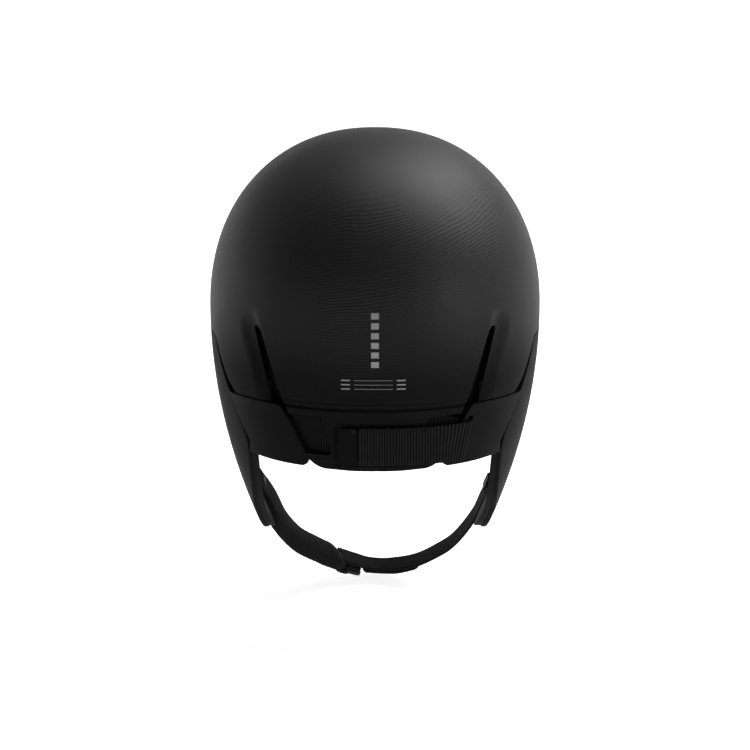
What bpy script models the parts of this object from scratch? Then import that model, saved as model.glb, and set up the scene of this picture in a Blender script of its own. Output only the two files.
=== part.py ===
"""Water helmet with a springy rear flap, ear flaps and a buckled chin strap.

+Z is up, the wearer faces +Y and +X is the wearer's right. z = 0 is the widest level of the shell, and the origin
is the middle of the head there. Lengths are in metres. Every shell, liner and pad lies on one family of surfaces:
"inset" is how far a surface lies inside the outer face of the helmet.
"""
import bpy
import bmesh
from math import asin, atan2, cos, pi, sin
from mathutils import Vector

MM = 0.001

# Driving dimensions of the outer face
HALF_WIDTH = 0.108
HALF_LENGTH = 0.133
CROWN_HEIGHT = 0.112
CROWN_POWER = 2.15
PLAN_POWER = 2.2
PLAN_POWER_GROWTH = 2.1
TAIL_END = -0.157
TUCK_IN = 0.0385
BACK_TUCK_IN = 0.0219
TUCK_POWER = 2.03
BACK_TUCK_POWER = 1.5

# Levels, all heights above the widest level
HINGE_LEVEL = 0.008
GROOVE_LEVEL = -0.040
RIM_LEVEL = -0.079
BROW_LEVEL = -0.014
EAR_ARCH_LEVEL = -0.017

# Thicknesses and clearances
SHELL = 0.003
GAP = 0.0004
SEAM = 0.0008
FLEX_DROP = 0.0032
LINER_FACE = SHELL + 0.0012
LINER_BACK = 0.018
DEEP_LINER_FACE = 0.0085
PAD_FACE = LINER_BACK + 0.0010
PAD_BACK = 0.0245
FLAP_PANEL = 0.0026
FLAP_PAD_BACK = 0.0080

# The flex strap and its slot
STRAP_TOP = -0.0503
STRAP_BOTTOM = -0.0753
STRAP_THICK = 0.0014
INNER_RUN_TOP = -0.0452
INNER_RUN_BOTTOM = -0.0730
WINDOW_TOP = -0.0445
WINDOW_BOTTOM = -0.0697
SLOT_X = 0.0570
SLOT_SLANT = 0.19
SLOT_HALF = 0.0029
STRAP_END_X = -0.0105
END_TAB_X = -0.0220

# Chin strap
WEBBING_WIDTH = 0.025
SLEEVE_WIDTH = 0.030

# Outlines: (height, distance behind the middle of the head)
FLAP_REAR_EDGE = ((-0.0175, 0.040), (-0.0345, 0.060), (-0.0425, 0.0695), (-0.056, 0.078), (-0.070, 0.0855),
                  (-0.082, 0.0825), (-0.092, 0.079), (-0.110, 0.068), (-0.124, 0.056), (-0.146, 0.031),
                  (-0.157, 0.022))
FLAP_FRONT_EDGE = ((-0.0175, -0.036), (-0.030, -0.047), (-0.060, -0.046), (-0.092, -0.034), (-0.124, -0.017),
                   (-0.146, -0.007), (-0.157, -0.004))
# Half width of the rear flap at each height
FLAP_SIDE = ((-0.079, 0.0410), (-0.047, 0.0530), (-0.038, 0.0572), (0.008, 0.0730))
# Outer side of the slits
SLIT_SIDE = ((-0.0405, 0.0655), (-0.037, 0.0657), (0.008, 0.0770))
# Lower edge of the shell: (distance behind the middle, height)
SHELL_EDGE = ((-0.133, BROW_LEVEL), (-0.105, -0.016), (-0.062, -0.026), (-0.042, EAR_ARCH_LEVEL),
              (0.018, EAR_ARCH_LEVEL), (0.042, EAR_ARCH_LEVEL), (0.0615, -0.0335), (0.0715, GROOVE_LEVEL),
              (0.133, GROOVE_LEVEL))

COLLECTION = "water_helmet"


def between(table, value):
    """Straight-line reading of a table of (key, value) pairs sorted either way."""
    rows = sorted(table)
    if value <= rows[0][0]:
        return rows[0][1]
    for (k0, v0), (k1, v1) in zip(rows, rows[1:]):
        if value <= k1:
            return v0 + (v1 - v0) * (value - k0) / (k1 - k0)
    return rows[-1][1]


def section(z, inset=0.0):
    """Half width, half length and power of the plan section at a height."""
    wide, long, high = HALF_WIDTH - inset, HALF_LENGTH - inset, CROWN_HEIGHT - inset
    if z >= 0:
        shrink = max(1 - (z / high) ** CROWN_POWER, 0.0) ** (1 / CROWN_POWER)
        return wide * shrink, long * shrink, PLAN_POWER
    down = z / TAIL_END
    wide -= TUCK_IN * down ** TUCK_POWER
    long -= BACK_TUCK_IN * down ** BACK_TUCK_POWER
    return wide, long, PLAN_POWER - PLAN_POWER_GROWTH * z


def at_azimuth(angle, z, inset):
    """Point of a surface by its azimuth, 0 at +X and a quarter turn at +Y."""
    wide, long, power = section(z, inset)
    c, s = cos(angle), sin(angle)
    x = wide * abs(c) ** (2 / power) * (1 if c >= 0 else -1)
    y = long * abs(s) ** (2 / power) * (1 if s >= 0 else -1)
    return Vector((x, y, z))


def at_back(x, z, inset):
    """Point at an inset under the place of the outer face's back that lies this far sideways."""
    wide, long, power = section(z)
    c = min(abs(x / wide), 1.0) ** (power / 2)
    return at_azimuth(-atan2((1 - c * c) ** 0.5, c if x >= 0 else -c), z, inset)


def at_side(behind, z, inset, side):
    """Point at an inset under the place of the outer face's side that lies this far behind the middle."""
    wide, long, power = section(z)
    s = min(abs(behind / long), 1.0) ** (power / 2)
    return at_azimuth(atan2(-s if behind >= 0 else s, side * (1 - s * s) ** 0.5), z, inset)


def material(name, color, roughness, metallic=0.0):
    found = bpy.data.materials.get(name)
    if found:
        return found
    made = bpy.data.materials.new(name)
    made.use_nodes = True
    shader = made.node_tree.nodes["Principled BSDF"]
    shader.inputs["Base Color"].default_value = (*color, 1.0)
    shader.inputs["Roughness"].default_value = roughness
    shader.inputs["Metallic"].default_value = metallic
    return made


def shell_plastic():
    return material("shell_plastic", (0.020, 0.020, 0.021), 0.55)


def flap_plastic():
    return material("flap_plastic", (0.028, 0.028, 0.029), 0.6)


def foam():
    return material("foam", (0.012, 0.012, 0.012), 0.9)


def fabric():
    return material("fabric", (0.016, 0.016, 0.017), 0.95)


def webbing():
    return material("webbing", (0.013, 0.013, 0.013), 0.85)


def steel():
    return material("steel", (0.35, 0.35, 0.36), 0.4, 1.0)


def buckle_plastic():
    return material("buckle_plastic", (0.045, 0.045, 0.047), 0.5)


def clear_scene():
    for old in list(bpy.data.objects):
        bpy.data.objects.remove(old, do_unlink=True)


def collection(name):
    found = bpy.data.collections.get(name)
    if not found:
        found = bpy.data.collections.new(name)
        bpy.context.scene.collection.children.link(found)
    return found


def add_object(name, bm, look, parent=None, group=COLLECTION):
    bmesh.ops.recalc_face_normals(bm, faces=bm.faces)
    if bm.calc_volume(signed=True) < 0:
        bmesh.ops.reverse_faces(bm, faces=bm.faces)
    mesh = bpy.data.meshes.new(name)
    bm.to_mesh(mesh)
    bm.free()
    if look:
        mesh.materials.append(look)
        mesh.shade_smooth()
        mesh.set_sharp_from_angle(angle=0.6)
    obj = bpy.data.objects.new(name, mesh)
    collection(group).objects.link(obj)
    if parent:
        mesh.transform(parent.matrix_basis.inverted())
        obj.parent = parent
    return obj


def thicken(bm, place):
    """Extrude an open sheet into a slab, then put each vertex at place(sheet point, 0 or 1 for the two faces)."""
    sheet = [v.co.copy() for v in bm.verts]
    first = list(bm.verts)
    grown = bmesh.ops.extrude_face_region(bm, geom=list(bm.faces))["geom"]
    second = [v for v in grown if isinstance(v, bmesh.types.BMVert)]
    for v in second:
        v.co = place(v.co.copy(), 1)
    for v, point in zip(first, sheet):
        v.co = place(point, 0)


def slab(name, look, across, along, place, parent=None, group=COLLECTION):
    """A closed slab: place(u, v, w) maps the unit square and the two faces w = 0 and 1 into space."""
    bm = bmesh.new()
    bmesh.ops.create_grid(bm, x_segments=across, y_segments=along, size=0.5)
    thicken(bm, lambda p, w: place(p.x + 0.5, p.y + 0.5, w))
    return add_object(name, bm, look, parent, group)


def empty(name, place):
    axis = bpy.data.objects.new(name, None)
    axis.location = place
    collection(COLLECTION).objects.link(axis)
    return axis


def cut(target, cutter):
    cutter.hide_render = True
    cutter.display_type = "WIRE"
    boolean = target.modifiers.new("cut_" + cutter.name, "BOOLEAN")
    boolean.operation = "DIFFERENCE"
    boolean.object = cutter
    boolean.solver = "EXACT"


def cutter_slab(name, place, along=1):
    return slab(name, None, 1, along, place, group="cutters")


def disc(name, look, centre, normal, radius, thick, parent=None, group=COLLECTION, sides=16):
    """A short cylinder centred on a point, with its axis along a normal."""
    bm = bmesh.new()
    turn = Vector(normal).to_track_quat("Z", "Y").to_matrix().to_4x4()
    turn.translation = centre
    bmesh.ops.create_cone(bm, cap_ends=True, segments=sides, radius1=radius, radius2=radius, depth=thick,
                          matrix=turn)
    return add_object(name, bm, look, parent, group)


def dome(name, look, columns, rows, low_rows, edge, face, back):
    """A cap over the whole head: a sphere without its lower bowl, drawn out to the helmet's surfaces."""
    bm = bmesh.new()
    bmesh.ops.create_uvsphere(bm, u_segments=columns, v_segments=rows * 2, radius=1.0)
    step = pi / (rows * 2)
    bowl = [v for v in bm.verts if asin(max(-1.0, v.co.z)) < -(low_rows + 0.5) * step]
    bmesh.ops.delete(bm, geom=bowl, context="VERTS")

    def place(p, w):
        inset = back if w else face
        high = CROWN_HEIGHT - inset
        angle = atan2(p.y, p.x)
        rise = asin(max(-1.0, min(1.0, p.z)))
        if p.z >= 0.9999:
            return Vector((0.0, 0.0, high))
        if rise > 0.25 * step:
            return at_azimuth(angle, high * sin(rise) ** (2 / CROWN_POWER), inset)
        level = at_azimuth(angle, 0.0, inset)
        return at_azimuth(angle, between(edge, -level.y) * max(0.0, -rise / (low_rows * step)), inset)

    thicken(bm, place)
    return add_object(name, bm, look)


def cap(name, look, columns, rows, low, face, back):
    """A bowl over the crown above one height."""
    bm = bmesh.new()
    bmesh.ops.create_uvsphere(bm, u_segments=columns, v_segments=rows * 2, radius=1.0)
    bowl = [v for v in bm.verts if v.co.z < -0.01]
    bmesh.ops.delete(bm, geom=bowl, context="VERTS")

    def place(p, w):
        inset = back if w else face
        high = CROWN_HEIGHT - inset
        if p.z >= 0.9999:
            return Vector((0.0, 0.0, high))
        share = asin(max(0.0, p.z)) / (pi / 2)
        start = asin((low / high) ** (CROWN_POWER / 2))
        rise = start + (pi / 2 - start) * share
        return at_azimuth(atan2(p.y, p.x), high * sin(rise) ** (2 / CROWN_POWER), inset)

    thicken(bm, place)
    return add_object(name, bm, look)


def arc_slab(name, look, start, end, low, high, face, back, across, along=4):
    """A slab between two azimuths in degrees and two heights."""
    def place(u, v, w):
        angle = (start + (end - start) * u) * pi / 180
        return at_azimuth(angle, low + (high - low) * v, back if w else face)
    return slab(name, look, across, along, place)


def back_slab(name, look, left, right, low, high, face, back, across, along, parent=None, group=COLLECTION):
    """A slab on the back: left and right are functions of the height."""
    def place(u, v, w):
        z = low + (high - low) * v
        return at_back(left(z) + (right(z) - left(z)) * u, z, back if w else face)
    return slab(name, look, across, along, place, parent, group)


def side_slab(name, look, side, front, rear, low, high, face, back, across, along, parent=None):
    """A slab on one side: front and rear are functions of the height."""
    def place(u, v, w):
        z = low + (high - low) * v
        return at_side(front(z) + (rear(z) - front(z)) * u, z, back if w else face, side)
    return slab(name, look, across, along, place, parent)


def flap_half(z):
    return between(FLAP_SIDE, z)


def make_shell():
    shell = dome("outer_shell", shell_plastic(), 64, 8, 4, SHELL_EDGE, 0.0, SHELL)

    def behind_flap(u, v, w):
        z = GROOVE_LEVEL - 0.004 + (HINGE_LEVEL + GAP - GROOVE_LEVEL + 0.004) * v
        return Vector(((2 * u - 1) * between(SLIT_SIDE, z), -0.16 + 0.12 * w, z))

    cut(shell, cutter_slab("flap_cutter", behind_flap, 6))


def make_band(side, name):
    """Rear band below the groove, from the diagonal gap round to the ear flap."""
    def inner(z):
        return side * (flap_half(z + FLEX_DROP) + SEAM)

    def outer(z):
        behind = between(FLAP_REAR_EDGE, z) + 2 * SEAM
        return at_side(behind, z, 0.0, side).x

    top = GROOVE_LEVEL - GAP
    band = back_slab(name, shell_plastic(), inner, outer, RIM_LEVEL, top, 0.0, SHELL, 10, 5)
    if side > 0:
        def slot(u, v, w):
            z = STRAP_BOTTOM - 0.0015 + (STRAP_TOP - STRAP_BOTTOM + 0.003) * v
            x = SLOT_X + SLOT_SLANT * (z - STRAP_BOTTOM) - 0.002
            return Vector((x + SLOT_HALF * (2 * u - 1) + (0.004 if w else -0.004), -0.13 + 0.04 * w, z))
        cut(band, cutter_slab("slot_cutter", slot))


def make_joiner(side, name, rivets):
    """Strip inside the shell and the band that holds them together, with two rivets."""
    def place(u, v, w):
        z = -0.0465 + 0.0195 * v
        return at_back(side * (0.0685 + 0.0120 * u), z, SHELL + GAP + (0.0016 if w else 0.0))
    slab(name, buckle_plastic(), 3, 2, place)
    for label, z in zip(rivets, (-0.0435, -0.0315)):
        inner = at_back(side * 0.0745, z, SHELL + GAP + 0.0016)
        deep = at_back(side * 0.0745, z, SHELL + GAP + 0.0036)
        normal = (deep - inner).normalized()
        disc(label, steel(), inner + normal * 0.0013, normal, 0.0024, 0.0014, sides=12)


def make_liner():
    cap("liner_crown", foam(), 32, 5, 0.046, LINER_FACE, LINER_BACK)
    high = 0.0455
    arc_slab("liner_front", foam(), 42, 138, -0.008, high, LINER_FACE, LINER_BACK, 16)
    arc_slab("liner_left", foam(), 138.6, 200, 0.001, high, LINER_FACE, LINER_BACK, 10)
    arc_slab("liner_right", foam(), -20, 41.4, 0.001, high, LINER_FACE, LINER_BACK, 10)
    arc_slab("liner_rear_top", foam(), 240.2, 299.8, 0.012, high, LINER_FACE, LINER_BACK, 10, 3)
    for name, start, end in (("liner_rear_left", 200.6, 239.6), ("liner_rear_right", -59.6, -20.6)):
        arc_slab(name, foam(), start, end, -0.0415, high, DEEP_LINER_FACE, LINER_BACK, 8, 5)


def make_pads():
    cap("pad_crown", fabric(), 24, 3, 0.074, PAD_FACE, PAD_BACK)
    arc_slab("pad_forehead", fabric(), 55, 125, -0.006, 0.026, PAD_FACE, PAD_BACK, 12, 3)
    arc_slab("pad_left", fabric(), 142, 198, 0.004, 0.036, PAD_FACE, PAD_BACK, 9, 3)
    arc_slab("pad_right", fabric(), -18, 38, 0.004, 0.036, PAD_FACE, PAD_BACK, 9, 3)


def make_rear_flap(axis):
    flap = back_slab("rear_flap", shell_plastic(), lambda z: -flap_half(z), flap_half, RIM_LEVEL, HINGE_LEVEL,
                     0.0, SHELL, 20, 12, axis)
    for label, side in (("left_window_cutter", -1), ("right_window_cutter", 1)):
        def window(u, v, w, side=side):
            z = WINDOW_BOTTOM + (WINDOW_TOP - WINDOW_BOTTOM) * v
            near = 0.0272 + 0.0058 * v
            return Vector((side * (near + (0.075 - near) * u), -0.15 + 0.08 * w, z))
        cut(flap, cutter_slab(label, window))
    back_slab("flap_liner", foam(), lambda z: 0.6 * -flap_half(z), lambda z: 0.6 * flap_half(z),
              -0.036, 0.0065, LINER_FACE, 0.015, 12, 4, axis)
    back_slab("nape_pad", fabric(), lambda z: -0.024, lambda z: 0.024, -0.072, -0.0375,
              0.0064, 0.0125, 6, 4, axis)
    back_slab("hook_patch", webbing(), lambda z: END_TAB_X, lambda z: 0.020, STRAP_BOTTOM + 0.002,
              STRAP_TOP - 0.002, -0.0009, -0.0003, 5, 2, axis)


def strap_route():
    """Middle line of the flex strap as (sideways place, inset), from the left anchor to the end of the outer run."""
    inner = SHELL + 0.0008 + STRAP_THICK / 2
    outer = -0.0013 - STRAP_THICK / 2
    turn = (inner - outer) / 2
    points = [(-0.062 + 0.114 * i / 18, inner) for i in range(19)]
    for i in range(1, 8):
        angle = -pi / 2 + pi * i / 8
        points.append((0.052 + 0.0042 * cos(angle), inner - turn - turn * sin(angle)))
    points += [(0.052 - (0.052 - STRAP_END_X) * i / 10, outer) for i in range(11)]
    return points


def make_flex_strap(axis):
    route = strap_route()

    def place(u, v, w):
        i = min(int(u * (len(route) - 1) + 0.5), len(route) - 1)
        before, after = route[max(i - 1, 0)], route[min(i + 1, len(route) - 1)]
        run = Vector((after[0] - before[0], after[1] - before[1])).normalized()
        shift = (STRAP_THICK / 2) * (1 if w else -1)
        x = route[i][0] - run.y * shift
        inset = route[i][1] + run.x * shift
        inside = (1 if inset > SHELL else 0) * min(max((0.058 - x) / 0.013, 0.0), 1.0)
        low = STRAP_BOTTOM + (INNER_RUN_BOTTOM - STRAP_BOTTOM) * inside
        high = STRAP_TOP + (INNER_RUN_TOP - STRAP_TOP) * inside
        z = low + (high - low) * v
        lean = min(max((x - 0.037) / 0.015, 0.0), 1.0)
        return at_back(x + lean * SLOT_SLANT * (z - STRAP_BOTTOM), z, inset)

    slab("flex_strap", webbing(), len(route) - 1, 2, place)
    back_slab("strap_end_tab", webbing(), lambda z: END_TAB_X, lambda z: STRAP_END_X - GAP, STRAP_BOTTOM,
              STRAP_TOP, -0.0013 - STRAP_THICK, -0.0013, 2, 2, axis)
    back_slab("strap_anchor_plate", buckle_plastic(), lambda z: -0.070, lambda z: -0.0626, STRAP_BOTTOM,
              STRAP_TOP, SHELL + GAP, SHELL + GAP + 0.0022, 1, 2)
    for label, z in (("strap_anchor_rivet_upper", -0.0573), ("strap_anchor_rivet_lower", -0.0693)):
        inner = at_back(-0.0663, z, SHELL + GAP + 0.0022)
        deep = at_back(-0.0663, z, SHELL + GAP + 0.0042)
        normal = (deep - inner).normalized()
        disc(label, steel(), inner + normal * 0.0013, normal, 0.0022, 0.0014, sides=12)


def make_ear_flap(side, word, axis):
    def front(z):
        return between(FLAP_FRONT_EDGE, z)

    def rear(z):
        return between(FLAP_REAR_EDGE, z)

    panel = side_slab("ear_flap_" + word, flap_plastic(), side, front, rear, TAIL_END, -0.0180,
                      0.0, FLAP_PANEL, 10, 16, axis)
    pad = side_slab("ear_pad_" + word, foam(), side, lambda z: front(z) + 0.001, lambda z: rear(z) - 0.001,
                    TAIL_END + 0.004, -0.038, FLAP_PANEL + GAP, FLAP_PAD_BACK, 8, 12, axis)
    port = at_side(0.012, -0.064, 0.0, side)
    cutter = disc("port_cutter_" + word, None, port, (1, 0, 0), 0.0125, 0.06, group="cutters", sides=20)
    cut(panel, cutter)
    cut(pad, cutter)
    middle = at_side(0.012, -0.064, 0.0052, side)
    disc("ear_mesh_" + word, fabric(), middle, (1, 0, 0), 0.0119, 0.0012, axis, sides=20)
    side_slab("ear_tab_" + word, buckle_plastic(), side, lambda z: -0.026, lambda z: 0.010, -0.026, -0.002,
              SHELL + GAP, SHELL + GAP + 0.0013, 5, 3)
    for label, behind in (("front", -0.018), ("rear", 0.003)):
        seat = at_side(behind, -0.008, SHELL + GAP + 0.0017, side)
        disc("ear_stud_%s_%s" % (word, label), steel(), seat - Vector((side * 0.0011, 0, 0)), (1, 0, 0),
             0.0045, 0.0020, sides=14)


def spline(points, steps):
    """A smooth line through hand-chosen points, with equal steps between each pair."""
    ends = [points[0] * 2 - points[1]] + points + [points[-1] * 2 - points[-2]]
    line = []
    for a, b, c, d in zip(ends, ends[1:], ends[2:], ends[3:]):
        for i in range(steps):
            t = i / steps
            line.append(0.5 * ((2 * b) + (c - a) * t + (2 * a - 5 * b + 4 * c - d) * t ** 2
                               + (3 * b - a - 3 * c + d) * t ** 3))
    return line + [points[-1]]


def ribbon(name, look, points, width, thick, steps=4, parent=None, lift=0.0):
    """A flat band along a smooth line, as wide as it can be along Y; lift shifts it along its own normal."""
    line = spline([Vector(p) for p in points], steps)

    def place(u, v, w):
        i = min(int(u * (len(line) - 1) + 0.5), len(line) - 1)
        run = (line[min(i + 1, len(line) - 1)] - line[max(i - 1, 0)]).normalized()
        across = (Vector((0, 1, 0)) - run * run.y).normalized()
        normal = run.cross(across)
        return line[i] + across * width * (v - 0.5) + normal * (thick * (w - 0.5) + lift)

    return slab(name, look, len(line) - 1, 2, place, parent)


# Middle lines of the two halves of the chin strap, and of their roots inside the ear flaps
ROOT_LINE = ((0.0752, -0.020, -0.112), (0.0692, -0.014, -0.130), (0.0616, -0.008, -0.1465))
SLEEVE_LINE = ((-0.0580, -0.0012, -0.1648), (-0.0550, 0.004, -0.1650), (-0.0450, 0.013, -0.1700),
               (-0.0262, 0.0255, -0.1805))
WEBBING_LINE = ((0.0620, -0.0030, -0.1630), (0.0575, 0.0025, -0.1665), (0.0490, 0.012, -0.1720),
                (0.0330, 0.023, -0.1802), (0.0160, 0.029, -0.1862), (-0.0020, 0.031, -0.1868),
                (-0.0120, 0.029, -0.1848), (-0.0195, 0.0275, -0.1820))
LAP_LINE = ((0.0330, 0.023, -0.1802), (0.0160, 0.029, -0.1862), (-0.0040, 0.031, -0.1867))
TONGUE_LINE = ((-0.0200, 0.0272, -0.1852), (-0.0085, 0.0297, -0.1892))


def make_chin_roots(left_axis, right_axis):
    for word, side, axis in (("left", -1, left_axis), ("right", 1, right_axis)):
        root = [(side * x, y, z) for x, y, z in ROOT_LINE]
        ribbon("chin_root_" + word, webbing(), root, WEBBING_WIDTH * 0.92, 0.0024, 4, axis)
        plate = [(x - side * 0.0030, y, z) for x, y, z in root[:2]]
        ribbon("chin_anchor_plate_" + word, buckle_plastic(), plate, 0.016, 0.0016, 3, axis)


def make_left_strap(axis, tab_axis):
    ribbon("chin_sleeve", fabric(), SLEEVE_LINE, SLEEVE_WIDTH, 0.0100, 4, axis)
    below = [(-0.0385, 0.0200, -0.1840), (-0.0275, 0.0265, -0.1890)]
    ribbon("buckle_socket", buckle_plastic(), below, 0.022, 0.0024, 2, axis)
    tab = [(-0.0225, 0.0278, -0.1915), (-0.0095, 0.0290, -0.1940)]
    ribbon("buckle_pull_tab", flap_plastic(), tab, 0.018, 0.0022, 2, tab_axis)


def make_right_strap(axis):
    ribbon("chin_webbing", webbing(), WEBBING_LINE, WEBBING_WIDTH, 0.0018, 3, axis)
    ribbon("webbing_lap", webbing(), LAP_LINE, WEBBING_WIDTH - 0.001, 0.0016, 3, axis, lift=0.0021)
    ribbon("buckle_tongue", buckle_plastic(), TONGUE_LINE, 0.020, 0.0018, 2, axis)


def main():
    clear_scene()
    make_shell()
    make_band(-1, "rear_band_left")
    make_band(1, "rear_band_right")
    make_joiner(-1, "joiner_left", ("joiner_rivet_left_lower", "joiner_rivet_left_upper"))
    make_joiner(1, "joiner_right", ("joiner_rivet_right_lower", "joiner_rivet_right_upper"))
    make_liner()
    make_pads()
    make_rear_flap(empty("rear_flap_axis", (0.0, -0.097, HINGE_LEVEL)))
    make_flex_strap(empty("strap_end_axis", at_back(STRAP_END_X, -0.0595, -0.0013 - STRAP_THICK)))
    left = empty("ear_flap_left_axis", (-0.107, 0.0, EAR_ARCH_LEVEL))
    right = empty("ear_flap_right_axis", (0.107, 0.0, EAR_ARCH_LEVEL))
    make_ear_flap(-1, "left", left)
    make_ear_flap(1, "right", right)
    make_chin_roots(left, right)
    make_left_strap(empty("chin_left_axis", (-0.0665, -0.0045, -0.1660)),
                    empty("pull_tab_axis", (-0.0225, 0.0278, -0.1915)))
    make_right_strap(empty("chin_right_axis", (0.0670, -0.0045, -0.1630)))


main()
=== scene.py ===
"""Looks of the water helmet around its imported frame: skins, pads, straps, materials, light and camera.

Lengths are in metres. Shell, liner and pads lie on one family of surfaces, as the solids do: "inset" is how
far a surface lies inside the outer face, and "behind" how far a point lies behind the middle of the head.
"""
from bisect import bisect
from math import asin, atan2, cos, exp, hypot, pi, radians, sin
import bmesh
import bpy
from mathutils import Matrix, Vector


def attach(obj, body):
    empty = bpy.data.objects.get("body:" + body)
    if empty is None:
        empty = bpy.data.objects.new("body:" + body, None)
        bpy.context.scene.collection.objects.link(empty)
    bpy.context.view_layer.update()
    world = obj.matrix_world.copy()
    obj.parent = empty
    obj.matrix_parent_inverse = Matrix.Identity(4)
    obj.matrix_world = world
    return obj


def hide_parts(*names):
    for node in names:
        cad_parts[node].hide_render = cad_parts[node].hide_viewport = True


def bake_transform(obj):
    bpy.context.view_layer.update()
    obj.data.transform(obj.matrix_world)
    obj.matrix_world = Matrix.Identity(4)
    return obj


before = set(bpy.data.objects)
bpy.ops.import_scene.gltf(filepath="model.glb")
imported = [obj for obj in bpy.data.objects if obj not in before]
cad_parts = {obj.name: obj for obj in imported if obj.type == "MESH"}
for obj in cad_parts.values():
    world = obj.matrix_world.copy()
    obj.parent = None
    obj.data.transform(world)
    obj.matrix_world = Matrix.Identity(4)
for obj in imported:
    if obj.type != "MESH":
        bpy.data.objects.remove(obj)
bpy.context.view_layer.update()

# The outer face, as in the solids
HALF_WIDTH = 0.108
HALF_LENGTH = 0.133
CROWN_HEIGHT = 0.112
CROWN_POWER = 2.15
PLAN_POWER = 2.2
PLAN_POWER_GROWTH = 2.1
TAIL_END = -0.157
TUCK_IN = 0.0385
BACK_TUCK_IN = 0.0219
TUCK_POWER = 2.03
BACK_TUCK_POWER = 1.5

HINGE_LEVEL = 0.008
GROOVE_LEVEL = -0.040
RIM_LEVEL = -0.079
EAR_ARCH_LEVEL = -0.0115
BROW_LEVEL = -0.014
SHELL = 0.003

STRAP_TOP = -0.0503
STRAP_BOTTOM = -0.0753
STRAP_THICK = 0.0014
STRAP_END_X = -0.0105
END_TAB_X = -0.0220
SLOT_SLANT = 0.19
RIB_PITCH = 0.00175

FLAP_REAR_EDGE = ((-0.157, 0.022), (-0.146, 0.031), (-0.124, 0.056), (-0.110, 0.070), (-0.092, 0.079),
                  (-0.082, 0.0825), (-0.070, 0.0858), (-0.056, 0.0790), (-0.0425, 0.0725), (-0.034, 0.0640),
                  (-0.0122, 0.0480))
FLAP_FRONT_EDGE = ((-0.157, -0.004), (-0.146, -0.007), (-0.124, -0.017), (-0.092, -0.034), (-0.060, -0.046),
                   (-0.030, -0.047), (-0.0122, -0.034))
FLAP_SIDE = ((-0.079, 0.0410), (-0.047, 0.0530), (-0.038, 0.0570), (-0.032, 0.0595), (0.008, 0.0719))
SLIT_SIDE = ((-0.0405, 0.0650), (-0.037, 0.0658), (-0.032, 0.0679), (0.008, 0.0776))
SHELL_EDGE = ((-0.133, BROW_LEVEL), (-0.105, -0.016), (-0.062, -0.026), (-0.042, EAR_ARCH_LEVEL),
              (0.018, EAR_ARCH_LEVEL), (0.0490, EAR_ARCH_LEVEL), (0.0655, -0.0340), (0.0742, -0.0415),
              (0.0800, -0.0405), (0.1040, -0.0386), (0.1330, -0.0385))
SLIT_TOP_X = 0.0743
SLIT_ROUND = 0.0024
WINDOW_TOP = -0.0445
WINDOW_BOTTOM = -0.0697


# ---------------- surfaces

def between(table, value):
    keys = [k for k, _ in table]
    i = min(max(bisect(keys, value), 1), len(keys) - 1)
    (k0, v0), (k1, v1) = table[i - 1], table[i]
    share = min(max((value - k0) / (k1 - k0), 0.0), 1.0)
    return v0 + (v1 - v0) * share


def softened(table, value, reach):
    """The table read with its corners rounded off over a reach."""
    steps = 9
    return sum(between(table, value + reach * (2 * k / (steps - 1) - 1)) for k in range(steps)) / steps


def smooth(a, b, value):
    t = min(max((value - a) / (b - a), 0.0), 1.0)
    return t * t * (3 - 2 * t)


def corner_cut(near, radius):
    """How far a round corner takes an edge back, at a distance from the outline's end."""
    short = min(max(radius - near, 0.0), radius)
    return radius - (radius ** 2 - short ** 2) ** 0.5


def section(z, inset=0.0):
    wide, long, high = HALF_WIDTH - inset, HALF_LENGTH - inset, CROWN_HEIGHT - inset
    if z >= 0:
        shrink = max(1 - (z / high) ** CROWN_POWER, 0.0) ** (1 / CROWN_POWER)
        return wide * shrink, long * shrink, PLAN_POWER
    down = z / TAIL_END
    wide -= TUCK_IN * down ** TUCK_POWER
    long -= BACK_TUCK_IN * down ** BACK_TUCK_POWER
    return wide, long, PLAN_POWER - PLAN_POWER_GROWTH * z


def at_azimuth(angle, z, inset=0.0):
    wide, long, power = section(z, inset)
    c, s = cos(angle), sin(angle)
    x = wide * abs(c) ** (2 / power) * (1 if c >= 0 else -1)
    y = long * abs(s) ** (2 / power) * (1 if s >= 0 else -1)
    return Vector((x, y, z))


def back_angle(x, z):
    wide, _, power = section(z)
    c = min(abs(x / wide), 1.0) ** (power / 2)
    return -atan2((1 - c * c) ** 0.5, c if x >= 0 else -c)


def side_angle(behind, z, side):
    _, long, power = section(z)
    s = min(abs(behind / long), 1.0) ** (power / 2)
    return atan2(-s if behind >= 0 else s, side * (1 - s * s) ** 0.5)


def at_back(x, z, inset=0.0):
    return at_azimuth(back_angle(x, z), z, inset)


def at_side(behind, z, inset, side):
    return at_azimuth(side_angle(behind, z, side), z, inset)


def slit_middle(z):
    low, high = between(FLAP_SIDE, z), between(SLIT_SIDE, z)
    return (low + high) / 2


def slit_half(z):
    """Half the width of a slit: it widens downwards from a round top."""
    half = (between(SLIT_SIDE, z) - between(FLAP_SIDE, z)) / 2
    down = (HINGE_LEVEL - z) / SLIT_ROUND
    return half * (max(0.0, 1 - (1 - down) ** 2) ** 0.5 if down < 1 else 1.0)


def scoop(x, z):
    """Depth of the soft hollow beside a slit, on its outer side."""
    top = Vector((SLIT_TOP_X, HINGE_LEVEL - 0.002))
    low = Vector((slit_middle(GROOVE_LEVEL), GROOVE_LEVEL))
    run = low - top
    here = Vector((abs(x), z)) - top
    t = min(max(here.dot(run) / run.length_squared, 0.0), 1.0)
    off = here - run * t
    away = hypot(off.x * 1.35, off.y)
    outward = off.x - 0.3 * off.y
    side = smooth(-0.0035, 0.0015, outward)
    return 0.0024 * side * (1 - smooth(0.0078, 0.0122, away)) * smooth(GROOVE_LEVEL, GROOVE_LEVEL + 0.005, z)


# ---------------- mesh building

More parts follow.
